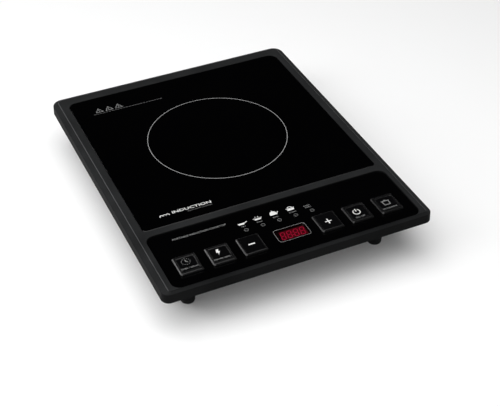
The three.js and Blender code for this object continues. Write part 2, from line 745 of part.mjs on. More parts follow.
add('power_board', powerBoard(), 'circuit');
add('heatsink', heatsink(), 'aluminium');
add('igbt', powerPackage(34, 16, 14), 'component');
add('bridge_rectifier', powerPackage(64, 22, 12), 'component');
add('resonant_capacitor', filmCapacitor(36, 62, 32, 18, 17), 'capacitor');
add('filter_capacitor', filmCapacitor(92, 62, 26, 14, 16), 'capacitor');
add('choke', choke(), 'copper');
add('transformer', transformer(), 'component');
add('fan_housing', fanHousing(), 'component');
add('fan_rotor', fanRotor(), 'component');
add('cord_gland', cordGland(), 'rubber');

const FEET = ['front_left', 'front_right', 'rear_left', 'rear_right'];
atCorners(FOOT.x, FOOT.y, foot).forEach((body, i) => add(`foot_${FEET[i]}`, body, 'rubber'));
SCREWS.forEach(([x, y], i) => add(`screw_${FEET[i]}`, screw(x, y), 'steel'));

export default cooktop;
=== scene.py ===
"""Looks of a portable induction cooktop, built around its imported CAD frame. Metres, +Z up."""
import json
import math

import bmesh
import bpy
from mathutils import Matrix, Vector
from mathutils.geometry import tessellate_polygon


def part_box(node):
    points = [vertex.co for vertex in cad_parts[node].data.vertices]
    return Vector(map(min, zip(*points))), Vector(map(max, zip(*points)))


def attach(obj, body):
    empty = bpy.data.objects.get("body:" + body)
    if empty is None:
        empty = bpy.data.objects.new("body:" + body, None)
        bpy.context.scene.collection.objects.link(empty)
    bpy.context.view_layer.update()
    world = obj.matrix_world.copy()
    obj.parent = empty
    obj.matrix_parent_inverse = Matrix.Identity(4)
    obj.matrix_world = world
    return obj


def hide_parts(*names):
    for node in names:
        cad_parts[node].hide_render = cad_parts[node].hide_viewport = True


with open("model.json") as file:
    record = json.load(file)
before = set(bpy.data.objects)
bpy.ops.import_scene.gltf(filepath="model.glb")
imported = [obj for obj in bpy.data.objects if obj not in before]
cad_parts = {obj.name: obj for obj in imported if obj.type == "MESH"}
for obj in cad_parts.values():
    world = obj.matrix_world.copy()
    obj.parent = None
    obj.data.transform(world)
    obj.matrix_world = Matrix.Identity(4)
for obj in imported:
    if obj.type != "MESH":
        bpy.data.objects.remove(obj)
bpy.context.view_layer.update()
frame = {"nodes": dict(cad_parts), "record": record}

MM = 0.001


# ---------------------------------------------------------------- places taken from the frame

def node_box(node):
    low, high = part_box(node)
    return Vector(low), Vector(high)


def node_centre(node):
    low, high = node_box(node)
    return (low + high) / 2


COVER_LOW, COVER_HIGH = node_box("upper_cover")
BASE_LOW, BASE_HIGH = node_box("base_housing")
GLASS_LOW, GLASS_HIGH = node_box("glass_plate")
PANEL_LOW, PANEL_HIGH = node_box("control_fascia")
LENS_LOW, LENS_HIGH = node_box("display_window")
RING_CENTRE = node_centre("induction_coil")
GLASS_TOP = GLASS_HIGH.z
PANEL_TOP = PANEL_HIGH.z
PANEL_BOTTOM = PANEL_TOP - 2.5 * MM
GAP = 0.3 * MM
FRAME_TOP = GLASS_TOP + GAP
COVER_BOTTOM = BASE_HIGH.z + GAP
WALL = 2.4 * MM
GLASS_FRONT_CORNER = 4 * MM
GLASS_BACK_CORNER = 10 * MM
GLASS_LEDGE = 8 * MM
PANEL_CORNER = 9 * MM
PANEL_LEDGE = 5 * MM
LENS_CORNER = 2 * MM
GUIDE_HOLE = 1.7 * MM
GUIDE_NUMBERS = range(1, 6)
KEY_NAMES = ("timer", "power_level", "minus", "plus", "on_off", "mode")
DISHED_KEYS = ("timer", "power_level", "on_off", "mode")
CORNER_NAMES = ("front_left", "front_right", "rear_left", "rear_right")


# ---------------------------------------------------------------- mesh helpers

MERGE_DISTANCE = 1e-7

def arc(centre, radius, start, end, steps):
    """Points of an arc, from the start angle to the end angle in degrees."""
    points = []
    for i in range(steps + 1):
        angle = math.radians(start + (end - start) * i / steps)
        points.append((centre[0] + radius * math.cos(angle), centre[1] + radius * math.sin(angle)))
    return points


def round_rect(left, front, right, back, radius, back_radius=None, steps=8):
    """Counter-clockwise rectangle with round corners. The back pair may have a radius of its own."""
    back_radius = radius if back_radius is None else back_radius
    corners = (
        (right - radius, front + radius, radius, -90),
        (right - back_radius, back - back_radius, back_radius, 0),
        (left + back_radius, back - back_radius, back_radius, 90),
        (left + radius, front + radius, radius, 180),
    )
    points = []
    for x, y, corner_radius, start in corners:
        points += arc((x, y), corner_radius, start, start + 90, steps)
    return points


def circle(centre, radius, steps=32):
    return arc(centre, radius, 0, 360, steps)[:-1]


def mesh_object(name, bm, *materials, smooth_angle=35):
    """Turns a bmesh into an object whose edges sharper than the angle stay crisp."""
    bmesh.ops.recalc_face_normals(bm, faces=bm.faces)
    mesh = bpy.data.meshes.new(name)
    bm.to_mesh(mesh)
    bm.free()
    shade(mesh, smooth_angle)
    piece = bpy.data.objects.new(name, mesh)
    bpy.context.collection.objects.link(piece)
    for material in materials:
        mesh.materials.append(material)
    return piece


def shade(mesh, smooth_angle):
    for polygon in mesh.polygons:
        polygon.use_smooth = True
    mesh.set_sharp_from_angle(angle=math.radians(smooth_angle))


def new_object(name, bm, *materials, smooth_angle=35):
    piece = mesh_object(name, bm, *materials, smooth_angle=smooth_angle)
    weights = piece.modifiers.new("face_weights", "WEIGHTED_NORMAL")
    weights.keep_sharp = True
    return piece


def ring(bm, points, height):
    return [bm.verts.new((x, y, height)) for x, y in points]


def bridge(bm, lower, upper):
    """Quads between two closed rings with the same number of points."""
    count = len(lower)
    faces = []
    for i in range(count):
        j = (i + 1) % count
        faces.append(bm.faces.new((lower[i], lower[j], upper[j], upper[i])))
    return faces


def loft(bm, sections, painted_highlight_bands=()):
    """Joins rings through (outline, height) sections and returns the first and the last ring.

    The bands whose numbers are listed in the last argument take the object's second material, which on the
    cover is a painted highlight.
    """
    rings = [ring(bm, points, height) for points, height in sections]
    for number, (lower, upper) in enumerate(zip(rings, rings[1:])):
        for face in bridge(bm, lower, upper):
            face.material_index = int(number in painted_highlight_bands)
    return rings[0], rings[-1]


def fill(bm, outer, holes=()):
    """Flat face between an outer ring and any rings inside it."""
    if not holes:
        bm.faces.new(outer)
        return
    loops = [outer, *holes]
    verts = [vert for loop in loops for vert in loop]
    for triangle in tessellate_polygon([[vert.co for vert in loop] for loop in loops]):
        bm.faces.new([verts[index] for index in triangle])


def prism(bm, points, bottom, top):
    """Closed upright block on an outline."""
    lower, upper = loft(bm, [(points, bottom), (points, top)])
    fill(bm, lower)
    fill(bm, upper)


def lathe(bm, profile, centre, steps=40, axis="z"):
    """Closed solid of revolution from (radius, height) pairs that go right round its section."""
    loops = []
    for radius, height in profile:
        points = circle((0, 0), radius, steps)
        if axis == "z":
            loops.append([bm.verts.new((centre.x + a, centre.y + b, height)) for a, b in points])
        else:
            loops.append([bm.verts.new((centre.x + a, height, centre.z + b)) for a, b in points])
    for lower, upper in zip(loops, loops[1:]):
        bridge(bm, lower, upper)
    bmesh.ops.remove_doubles(bm, verts=bm.verts, dist=MERGE_DISTANCE)


def inset_rect(low, high, inset, radius, height, back_radius=None):
    """One section of a loft: a box's plan, pulled in all round, at a height."""
    outline = round_rect(low.x + inset, low.y + inset, high.x - inset, high.y - inset, radius, back_radius)
    return outline, height


def rounding(radius, steps=4):
    """Quarter-round edge as (inset, drop) pairs, from the wall to the flat."""
    pairs = []
    for i in range(steps + 1):
        angle = math.radians(90 * i / steps)
        pairs.append((radius * (1 - math.cos(angle)), radius * (1 - math.sin(angle))))
    return pairs


def combine(piece, operation, build_tool, smooth_angle=35):
    """Joins to, or cuts from, a piece the solids that build_tool adds to an empty bmesh."""
    bm = bmesh.new()
    build_tool(bm)
    tool = mesh_object(piece.name + "_tool", bm)
    change = piece.modifiers.new(operation.lower(), "BOOLEAN")
    change.operation = operation
    change.solver = "EXACT"
    change.use_self = True
    change.object = tool
    bpy.context.view_layer.update()
    result = bpy.data.meshes.new_from_object(piece.evaluated_get(bpy.context.evaluated_depsgraph_get()))
    piece.modifiers.clear()
    piece.data = result
    shade(result, smooth_angle)
    bpy.data.objects.remove(tool)


def place(piece, body, slot, *replaced):
    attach(piece, body)
    if replaced:
        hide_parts(*replaced)
    return piece


# ---------------------------------------------------------------- materials

def principled(name, color, roughness, metallic=0.0, gloss=0.5):
    """A material and its shader. Gloss is the specular level: 0.5 is what plain plastic has."""
    material = bpy.data.materials.new(name)
    material.use_nodes = True
    shader = material.node_tree.nodes["Principled BSDF"]
    shader.inputs["Base Color"].default_value = (*color, 1)
    shader.inputs["Roughness"].default_value = roughness
    shader.inputs["Metallic"].default_value = metallic
    shader.inputs["Specular IOR Level"].default_value = gloss
    return material, shader


def texture_place(material, stretch=(1, 1, 1)):
    """Object coordinates in metres, stretched along an axis if asked."""
    nodes, links = material.node_tree.nodes, material.node_tree.links
    coordinates = nodes.new("ShaderNodeTexCoord")
    mapping = nodes.new("ShaderNodeMapping")
    mapping.inputs["Scale"].default_value = stretch
    links.new(coordinates.outputs["Object"], mapping.inputs["Vector"])
    return mapping.outputs["Vector"]


def noise(material, vector, scale, detail=3, roughness=0.55):
    texture = material.node_tree.nodes.new("ShaderNodeTexNoise")
    texture.inputs["Scale"].default_value = scale
    texture.inputs["Detail"].default_value = detail
    texture.inputs["Roughness"].default_value = roughness
    material.node_tree.links.new(vector, texture.inputs["Vector"])
    return texture.outputs["Fac"]


def spread(material, value, low, high, from_low=0.3, from_high=0.7):
    """Maps a texture's value onto a range."""
    node = material.node_tree.nodes.new("ShaderNodeMapRange")
    node.inputs["From Min"].default_value = from_low
    node.inputs["From Max"].default_value = from_high
    node.inputs["To Min"].default_value = low
    node.inputs["To Max"].default_value = high
    material.node_tree.links.new(value, node.inputs["Value"])
    return node.outputs["Result"]


def blend_colors(material, value, first, second):
    node = material.node_tree.nodes.new("ShaderNodeMix")
    node.data_type = "RGBA"
    node.inputs["A"].default_value = (*first, 1)
    node.inputs["B"].default_value = (*second, 1)
    material.node_tree.links.new(value, node.inputs["Factor"])
    return node.outputs["Result"]


def bump(material, shader, height, distance, strength=1.0):
    node = material.node_tree.nodes.new("ShaderNodeBump")
    node.inputs["Distance"].default_value = distance
    node.inputs["Strength"].default_value = strength
    material.node_tree.links.new(height, node.inputs["Height"])
    material.node_tree.links.new(node.outputs["Normal"], shader.inputs["Normal"])


def scaled(color, factor):
    return tuple(channel * factor for channel in color)


def multiply(material, color, factor):
    node = material.node_tree.nodes.new("ShaderNodeVectorMath")
    node.operation = "SCALE"
    material.node_tree.links.new(color, node.inputs["Vector"])
    material.node_tree.links.new(factor, node.inputs["Scale"])
    return node.outputs["Vector"]


def facing_up(material, from_low, from_high, low):
    """Rises from low on steep faces to 1 on level ones: the mask for painted shade on steep faces."""
    nodes, links = material.node_tree.nodes, material.node_tree.links
    split = nodes.new("ShaderNodeSeparateXYZ")
    links.new(nodes.new("ShaderNodeNewGeometry").outputs["Normal"], split.inputs["Vector"])
    return spread(material, split.outputs["Z"], low, 1, from_low, from_high)


def moulded(name, color, roughness, depth=0.02 * MM, variation=0.25, gloss=0.5, painted_side_shade_tone=1.0):
    """Moulded plastic or rubber: a fine spark-eroded grain with faint flow marks in tone and gloss.

    The last argument paints the steep faces darker than the level ones by its factor: painted shade, for
    light that falls more on level tops than on walls.
    """
    material, shader = principled(name, color, roughness, gloss=gloss)
    links = material.node_tree.links
    vector = texture_place(material)
    flow = spread(material, noise(material, vector, 18, 2), 0, 1)
    tones = blend_colors(material, flow, scaled(color, 1 - variation), scaled(color, 1 + variation))
    steep, level = 0.1, 0.98
    # Painted shade: the steep faces are darkened by this mask.
    painted_side_shade_mask = facing_up(material, steep, level, painted_side_shade_tone)
    links.new(multiply(material, tones, painted_side_shade_mask), shader.inputs["Base Color"])
    grain = 0.35 * MM
    grains = noise(material, vector, 1 / grain, 2)
    links.new(spread(material, grains, roughness - 0.05, roughness + 0.07), shader.inputs["Roughness"])
    bump(material, shader, grains, depth)
    return material


def polished(name, color, roughness, haze=0.03, gloss=0.5):
    """Polished glass or gloss print: near-black, with a faint haze that varies across it."""
    material, shader = principled(name, color, roughness, gloss=gloss)
    links = material.node_tree.links
    vector = texture_place(material)
    smears = noise(material, vector, 30, 5, 0.65)
    links.new(spread(material, smears, roughness, roughness + haze), shader.inputs["Roughness"])
    tone = spread(material, noise(material, vector, 9, 2), 0, 1)
    links.new(blend_colors(material, tone, color, scaled(color, 1.5)), shader.inputs["Base Color"])
    bump(material, shader, smears, 0.002 * MM)
    return material


def printed(name, color, roughness=0.5, glow=None):
    """Screen-printed ink with slightly uneven coverage, or a lit one if a glow colour is given."""
    plain, lit = 0.5, 0.04
    material, shader = principled(name, color, roughness, gloss=lit if glow else plain)
    links = material.node_tree.links
    coverage = spread(material, noise(material, texture_place(material), 900, 2), 0, 1)
    links.new(blend_colors(material, coverage, scaled(color, 0.86), color), shader.inputs["Base Color"])
    bump(material, shader, coverage, 0.004 * MM)
    if glow:
        shader.inputs["Emission Color"].default_value = (*glow, 1)
        shader.inputs["Emission Strength"].default_value = 1
    return material


def brushed(name, color, roughness, stretch, metallic=1.0):
    """Drawn or extruded metal: streaks along one axis."""
    material, shader = principled(name, color, roughness, metallic)
    links = material.node_tree.links
    streaks = noise(material, texture_place(material, stretch), 1200, 3)
    links.new(spread(material, streaks, roughness - 0.08, roughness + 0.12), shader.inputs["Roughness"])
    tones = blend_colors(material, spread(material, streaks, 0, 1), scaled(color, 0.8), color)
    links.new(tones, shader.inputs["Base Color"])
    bump(material, shader, streaks, 0.01 * MM)
    return material


def speckled(name, color, other, roughness, scale=700, metallic=0.0):
    """Sintered, pressed or layered stuff: speckles of two tones."""
    material, shader = principled(name, color, roughness, metallic)
    links = material.node_tree.links
    specks = spread(material, noise(material, texture_place(material), scale, 4, 0.7), 0, 1, 0.4, 0.6)
    links.new(blend_colors(material, specks, color, other), shader.inputs["Base Color"])
    links.new(spread(material, specks, roughness - 0.08, roughness + 0.08, 0, 1), shader.inputs["Roughness"])
    bump(material, shader, specks, 0.03 * MM)
    return material


FINISHES = {
    # The cover's steep faces are painted darker than its level tops: painted shade.
    "cover_plastic": moulded("cover_plastic", (0.0155, 0.016, 0.0165), 0.5, gloss=0.02, painted_side_shade_tone=0.35),
    "base_plastic": moulded("base_plastic", (0.008, 0.008, 0.0084), 0.55, gloss=0.08),
    "black_glass": polished("black_glass", (0.0003, 0.0003, 0.0004), 0.03),
    "panel_gloss": polished("panel_gloss", (0.0004, 0.0004, 0.0005), 0.05, 0.03),
    "key_plastic": moulded("key_plastic", (0.0028, 0.0028, 0.003), 0.22, depth=0.006 * MM, gloss=0.35),
    "display_red": polished("display_red", (0.003, 0.0006, 0.0008), 0.08),
    "white_plastic": moulded("white_plastic", (0.7, 0.7, 0.67), 0.45, variation=0.04),
    "circuit_board": speckled("circuit_board", (0.012, 0.075, 0.03), (0.02, 0.13, 0.05), 0.4, 160),
    "black_component": moulded("black_component", (0.012, 0.012, 0.013), 0.45),
    "clear_acrylic": polished("clear_acrylic", (0.01, 0.0105, 0.011), 0.15),
    "carrier_plastic": moulded("carrier_plastic", (0.02, 0.017, 0.015), 0.55),
    "copper_litz": speckled("copper_litz", (0.62, 0.24, 0.09), (0.4, 0.13, 0.045), 0.35, 1500, 0.9),
    "ferrite": speckled("ferrite", (0.035, 0.036, 0.038), (0.06, 0.06, 0.063), 0.65, 1100),
    "mica": speckled("mica", (0.48, 0.36, 0.2), (0.62, 0.5, 0.3), 0.5, 350),
    "heatsink_aluminium": brushed("heatsink_aluminium", (0.68, 0.69, 0.71), 0.35, (1, 0.05, 1)),
    "capacitor_yellow": moulded("capacitor_yellow", (0.55, 0.32, 0.05), 0.35, variation=0.08),
    "soft_rubber": moulded("soft_rubber", (0.006, 0.006, 0.006), 0.7, depth=0.03 * MM, gloss=0.2),
    "screw_steel": brushed("screw_steel", (0.6, 0.6, 0.61), 0.3, (1, 1, 0.1)),
}
# Lighter colour for the cover's ridge band: a painted highlight along the ridge.
PAINTED_RIDGE_HIGHLIGHT = moulded("painted_ridge_highlight", (0.04, 0.041, 0.043), 0.42, gloss=0.15)
KEY_LABEL = polished("key_label", (0.0016, 0.0016, 0.0018), 0.1, gloss=0.3)
WHITE_INK = printed("white_ink", (0.75, 0.75, 0.74))
GREY_INK = printed("grey_ink", (0.33, 0.33, 0.33))
SMALL_INK = printed("small_ink", (0.24, 0.24, 0.24))
FAINT_INK = printed("faint_ink", (0.13, 0.13, 0.13))
RED_LIGHT = printed("red_light", (0.02, 0.0005, 0.002), glow=(0.3, 0.004, 0.026))
RED_HAZE = printed("red_haze", (0.01, 0.0005, 0.001), glow=(0.035, 0.0002, 0.0014))


def finish_frame_nodes():
    """Gives each carried-over CAD node its procedural finish and soft edges."""
    slots = {part["node"]: part["material_slot"] for part in frame["record"]["subparts"]}
    for node, piece in frame["nodes"].items():
        piece.data.materials.clear()
        piece.data.materials.append(FINISHES[slots[node]])
        edges = piece.modifiers.new("soft_edges", "BEVEL")
        edges.width = 0.2 * MM
        edges.segments = 2
        edges.limit_method = "ANGLE"
        edges.angle_limit = math.radians(40)


# ---------------------------------------------------------------- cover and top plates

SLOPE = 7 * MM
FRONT_SLOPE = 2.5 * MM
SLOPE_DROP = 2.7 * MM
FRONT_CORNER = 8 * MM
BACK_CORNER = 12 * MM
FRONT_CORNER_SHRINK = 0.86
DECK_THICKNESS = 6.8 * MM
POST_RADIUS = 4 * MM
POST_HOLE = 1.8 * MM
POST_HOLE_DEPTH = 15 * MM


def cover_outline(inset, front_inset):
    """Plan of the cover, pulled in by an inset. Its front corners shrink more slowly than the back ones."""
    return round_rect(
        COVER_LOW.x + inset, COVER_LOW.y + front_inset, COVER_HIGH.x - inset, COVER_HIGH.y - inset,
        FRONT_CORNER - FRONT_CORNER_SHRINK * inset, BACK_CORNER - inset,
    )


def opening_sections(low, high, corner, ledge_height, ledge, bottom):
    """From the frame's top down into an opening: a rounded lip, the wall, the ledge and its edge."""
    front_corner, back_corner = corner
    gap = Vector((GAP, GAP, 0))
    outer = low - gap, high + gap
    lip = 0.5 * MM
    inner_corner = 2 * MM
    sections = []
    for inset, drop in reversed(rounding(lip)):
        sections.append(inset_rect(
            *outer, -inset, front_corner + inset, FRAME_TOP - drop, back_corner + inset,
        ))
    sections.append(inset_rect(*outer, 0, front_corner, ledge_height, back_corner))
    sections.append(inset_rect(*outer, ledge, inner_corner, ledge_height))
    sections.append(inset_rect(*outer, ledge, inner_corner, bottom))
    return sections


def build_cover():
    """Frame around the glass and the key panel: upright wall, shallow slope, ridge with a painted highlight,
    and flat top.
    """
    bm = bmesh.new()
    wall_top = FRAME_TOP - SLOPE_DROP
    # Inset and height, from the lower edge of the wall up to the flat top.
    profile = [
        (0.25 * MM, COVER_BOTTOM), (0, COVER_BOTTOM + 0.25 * MM),
        (0.45 * MM, wall_top - 0.6 * MM), (0.65 * MM, wall_top - 0.15 * MM),
        (1.05 * MM, wall_top + 0.12 * MM), (6.1 * MM, FRAME_TOP - 0.62 * MM),
        (6.2 * MM, FRAME_TOP - 0.55 * MM), (6.75 * MM, FRAME_TOP - 0.06 * MM), (SLOPE, FRAME_TOP),
    ]
    ridge_band = len(profile) - 3       # the short steep band near the top
    narrowing = FRONT_SLOPE / SLOPE
    sections = [(cover_outline(inset, inset * narrowing), height) for inset, height in profile]
    outer_bottom, ridge = loft(bm, sections, painted_highlight_bands=(ridge_band,))
    # The painted highlight on the ridge runs along the sides and the back only.
    bm.normal_update()
    faces_front = -0.3
    for face in bm.faces:
        if face.normal.y < faces_front:
            face.material_index = 0

    deck_bottom = FRAME_TOP - DECK_THICKNESS
    holes, windows = [], []
    for low, high, corner, ledge, ledge_height in (
        (GLASS_LOW, GLASS_HIGH, (GLASS_FRONT_CORNER, GLASS_BACK_CORNER), GLASS_LEDGE, GLASS_LOW.z - GAP),
        (PANEL_LOW, PANEL_HIGH, (PANEL_CORNER, PANEL_CORNER), PANEL_LEDGE, PANEL_BOTTOM - GAP),
    ):
        top, window = loft(bm, opening_sections(low, high, corner, ledge_height, ledge, deck_bottom))
        holes.append(top)
        windows.append(window)
    fill(bm, ridge, holes)
    inside = cover_outline(WALL, WALL)
    deck, inner_bottom = loft(bm, [(inside, deck_bottom), (inside, COVER_BOTTOM)])
    fill(bm, deck, windows)
    bridge(bm, inner_bottom, outer_bottom)
    # The second material is the painted highlight on the ridge.
    cover = new_object("frame_cover", bm, FINISHES["cover_plastic"], PAINTED_RIDGE_HIGHLIGHT, smooth_angle=50)
    return place(cover, "housing", "cover_plastic", "upper_cover")


def build_cover_posts():
    """The cover's four screw posts, which stand inside the base."""
    for corner in CORNER_NAMES:
        centre = node_centre(f"screw_{corner}")
        bottom, top = COVER_LOW.z, FRAME_TOP - DECK_THICKNESS + GAP
        hole_top = bottom + POST_HOLE_DEPTH
        profile = [
            (POST_HOLE, bottom), (POST_RADIUS, bottom), (POST_RADIUS, top), (0, top),
            (0, hole_top), (POST_HOLE, hole_top), (POST_HOLE, bottom),
        ]
        bm = bmesh.new()
        lathe(bm, profile, centre, 24)
        place(new_object(f"cover_post_{corner}", bm, FINISHES["cover_plastic"]), "housing", "cover_plastic")


def build_slab(name, low, high, front_corner, back_corner, top_edge, material):
    """Plate with round corners and softened edges."""
    bm = bmesh.new()
    bottom_edge = 0.1 * MM
    sections = [
        inset_rect(low, high, bottom_edge, front_corner, low.z, back_corner),
        inset_rect(low, high, 0, front_corner, low.z + bottom_edge, back_corner),
    ]
    for inset, drop in rounding(top_edge):
        sections.append(inset_rect(
            low, high, inset, front_corner - inset, high.z - drop, back_corner - inset,
        ))
    bottom, top = loft(bm, sections)
    fill(bm, bottom)
    fill(bm, top)
    return new_object(name, bm, material)


def build_glass():
    top_edge = 0.5 * MM
    glass = build_slab(
        "ceramic_glass", GLASS_LOW, GLASS_HIGH, GLASS_FRONT_CORNER, GLASS_BACK_CORNER, top_edge,
        FINISHES["black_glass"],
    )
    return place(glass, "housing", "black_glass", "glass_plate")


# ---------------------------------------------------------------- control panel

KEY_CORNER = 1.6 * MM
KEY_BEVEL = 1.3 * MM
KEY_FLANGE = 1.4 * MM
KEY_STEM = 2.5 * MM
DISH_DEPTH = 0.45 * MM
DISH_SIDE_BORDER = 2.6 * MM
DISH_END_BORDER = 3.7 * MM


def key_rect(key):
    """Plan of a key's cap, without its flange under the panel."""
    low, high = node_box(f"key_{key}")
    flange = Vector((KEY_FLANGE, KEY_FLANGE, 0))
    return low + flange, high - flange


def key_face_height(key):
    low, high = key_rect(key)
    return high.z - (DISH_DEPTH if key in DISHED_KEYS else 0)


def grown_rect(low, high, grow, corner):
    return round_rect(low.x - grow, low.y - grow, high.x + grow, high.y + grow, corner + grow)


def build_panel():
    """Glossy key panel with openings for the keys, the display and the light guides."""
    bm = bmesh.new()
    edge = 0.3 * MM
    sections = [inset_rect(PANEL_LOW, PANEL_HIGH, 0, PANEL_CORNER, PANEL_BOTTOM)]
    for inset, drop in rounding(edge):
        sections.append(inset_rect(PANEL_LOW, PANEL_HIGH, inset, PANEL_CORNER - inset, PANEL_TOP - drop))
    outer_bottom, outer_top = loft(bm, sections)

    lip = 0.15 * MM
    squares = [(*key_rect(key), KEY_CORNER) for key in KEY_NAMES]
    squares.append((LENS_LOW, LENS_HIGH, LENS_CORNER))
    openings = [
        (grown_rect(low, high, GAP + lip, corner), grown_rect(low, high, GAP, corner))
        for low, high, corner in squares
    ]
    for i in GUIDE_NUMBERS:
        centre = node_centre(f"light_guide_{i}")
        openings.append((circle(centre, GUIDE_HOLE + lip), circle(centre, GUIDE_HOLE)))
    tops, bottoms = [], []
    for lip_plan, wall_plan in openings:
        top, bottom = loft(bm, [
            (lip_plan, PANEL_TOP), (wall_plan, PANEL_TOP - lip), (wall_plan, PANEL_BOTTOM),
        ])
        tops.append(top)
        bottoms.append(bottom)
    fill(bm, outer_top, tops)
    fill(bm, outer_bottom, bottoms)
    panel = new_object("key_panel", bm, FINISHES["panel_gloss"])
    return place(panel, "housing", "panel_gloss", "control_fascia")


def build_key(key):
    """Key cap: flange, upright sides, bevel with softened edges and, on four keys, a shallow dish."""
    low, high = key_rect(key)
    flange_top = PANEL_BOTTOM - GAP
    flange_bottom = flange_top - KEY_FLANGE
    soft = 0.2 * MM
    halfway = 0.7 * soft        # how far a softened edge has turned at its middle

    def plan(side, end, corner=KEY_CORNER):
        return round_rect(low.x + side, low.y + end, high.x - side, high.y - end, corner, steps=5)

    def even(inset, drop, corner=KEY_CORNER):
        return plan(inset, inset, corner), high.z - drop

    bm = bmesh.new()
    sections = [
        (plan(-KEY_FLANGE, -KEY_FLANGE), flange_bottom), (plan(-KEY_FLANGE, -KEY_FLANGE), flange_top),
        (plan(0, 0), flange_top),
        even(0, KEY_BEVEL + soft), even(halfway, KEY_BEVEL - halfway),
        even(KEY_BEVEL - halfway, halfway, 0.6 * KEY_CORNER),
        even(KEY_BEVEL + soft, 0, 0.5 * KEY_CORNER),
    ]
    if key in DISHED_KEYS:
        dish_wall = 0.3 * MM
        for share, drop in ((-1, 0), (-0.3, 0.12 * DISH_DEPTH), (1, DISH_DEPTH)):
            edge = dish_wall * share
            outline = plan(DISH_SIDE_BORDER + edge, DISH_END_BORDER + edge, 0.5 * KEY_CORNER)
            sections.append((outline, high.z - drop))
    underside, face = loft(bm, sections)
    fill(bm, face)
    stem = circle((low + high) / 2, KEY_STEM, 20)
    stem_top, stem_bottom = loft(bm, [(stem, flange_bottom), (stem, low.z)])
    fill(bm, underside, [stem_top])
    fill(bm, stem_bottom)
    cap = new_object(f"cap_{key}", bm, FINISHES["key_plastic"])
    return place(cap, f"{key}_key", "key_plastic", f"key_{key}")


def build_key_label(key):
    """Dark gloss label in the dish of a key, or inside the bevel of a flat one."""
    low, high = key_rect(key)
    face = key_face_height(key)
    margin, corner, sunk, proud = 0.4 * MM, 0.8 * MM, 0.3 * MM, 0.04 * MM
    if key in DISHED_KEYS:
        side, end = DISH_SIDE_BORDER + margin, DISH_END_BORDER + margin
    else:
        side = end = KEY_BEVEL + 2 * margin
    label_low = Vector((low.x + side, low.y + end, face - sunk))
    label_high = Vector((high.x - side, high.y - end, face + proud))
    label = build_slab(f"label_{key}", label_low, label_high, corner, corner, proud, KEY_LABEL)
    return place(label, f"{key}_key", "panel_gloss")


def build_light_guides():
    bevel, foot_height = 0.3 * MM, 1.2 * MM
    for i in GUIDE_NUMBERS:
        low, high = node_box(f"light_guide_{i}")
        centre = (low + high) / 2
        foot, stem = (high.x - low.x) / 2, GUIDE_HOLE - GAP
        foot_top = low.z + foot_height
        profile = [
            (0, low.z), (foot, low.z), (foot, foot_top), (stem, foot_top),
            (stem, high.z - bevel), (stem - bevel, high.z), (0, high.z),
        ]
        bm = bmesh.new()
        lathe(bm, profile, centre, 24)
        guide = new_object(f"guide_{i}", bm, FINISHES["clear_acrylic"])
        place(guide, "housing", "clear_acrylic", f"light_guide_{i}")


# ---------------------------------------------------------------- base, feet, gland and screws

TUB_BOTTOM = 10 * MM
TUB_FLOOR = TUB_BOTTOM + WALL
TUB_CORNER = 10 * MM
TUB_EDGE = 3 * MM
SIDE_LEAN, FRONT_LEAN, BACK_LEAN = 14.2 * MM, 35.7 * MM, 7.2 * MM
SLOT_WIDTH = 3.4 * MM
SLOT_PITCH = 9 * MM
BACK_SLOTS, BACK_SLOTS_START = 19, -100 * MM
SIDE_SLOTS, SIDE_SLOTS_START = 7, 70 * MM
INLET_RINGS, INLET_RADIUS, INLET_PITCH = 4, 10 * MM, 7 * MM
INLET_WIDTH, BRIDGE_WIDTH = 3.6 * MM, 5 * MM
THIRDS = (0, 120, 240)
PAD_RADIUS, PAD_RISE = 7.6 * MM, 1.6 * MM
CARRIER_POST, BOARD_POST, BOARD_POST_INSET = 4 * MM, 3.5 * MM, 6 * MM
FOOT_HEIGHT, FOOT_STEM = 4.7 * MM, 2.7 * MM
GLAND_SLEEVE, GLAND_BORE = 5.7 * MM, 3.6 * MM


def tub_outline(height, inset=0.0):
    """Plan of the tub at a height. Its walls lean in towards the floor, most of all at the front."""
    share = (BASE_HIGH.z - height) / (BASE_HIGH.z - TUB_BOTTOM)
    side = SIDE_LEAN * share + inset
    return round_rect(
        BASE_LOW.x + side, BASE_LOW.y + FRONT_LEAN * share + inset,
        BASE_HIGH.x - side, BASE_HIGH.y - BACK_LEAN * share - inset, TUB_CORNER - inset / 2,
    )


def rect(left, front, right, back):
    return [(left, front), (right, front), (right, back), (left, back)]


def add_tub_posts(bm):
    """Pads over the feet, and posts under the coil carrier and the power board."""
    for corner in CORNER_NAMES:
        pad = circle(node_centre(f"foot_{corner}"), PAD_RADIUS)
        prism(bm, pad, BASE_LOW.z, TUB_FLOOR + PAD_RISE)
    inside_floor = TUB_BOTTOM + MM
    carrier_low, carrier_high = node_box("coil_carrier")
    reach = (carrier_high.x - carrier_low.x) / 2 - CARRIER_POST
    for third in THIRDS:
        angle = 90 + third
        spot = arc(RING_CENTRE, reach, angle, angle, 1)[0]
        prism(bm, circle(spot, CARRIER_POST, 20), inside_floor, carrier_low.z - GAP)
    board_low, board_high = node_box("power_board")
    for x in (board_low.x + BOARD_POST_INSET, board_high.x - BOARD_POST_INSET):
        for y in (board_low.y + BOARD_POST_INSET, board_high.y - BOARD_POST_INSET):
            prism(bm, circle((x, y), BOARD_POST, 20), inside_floor, board_low.z - GAP)


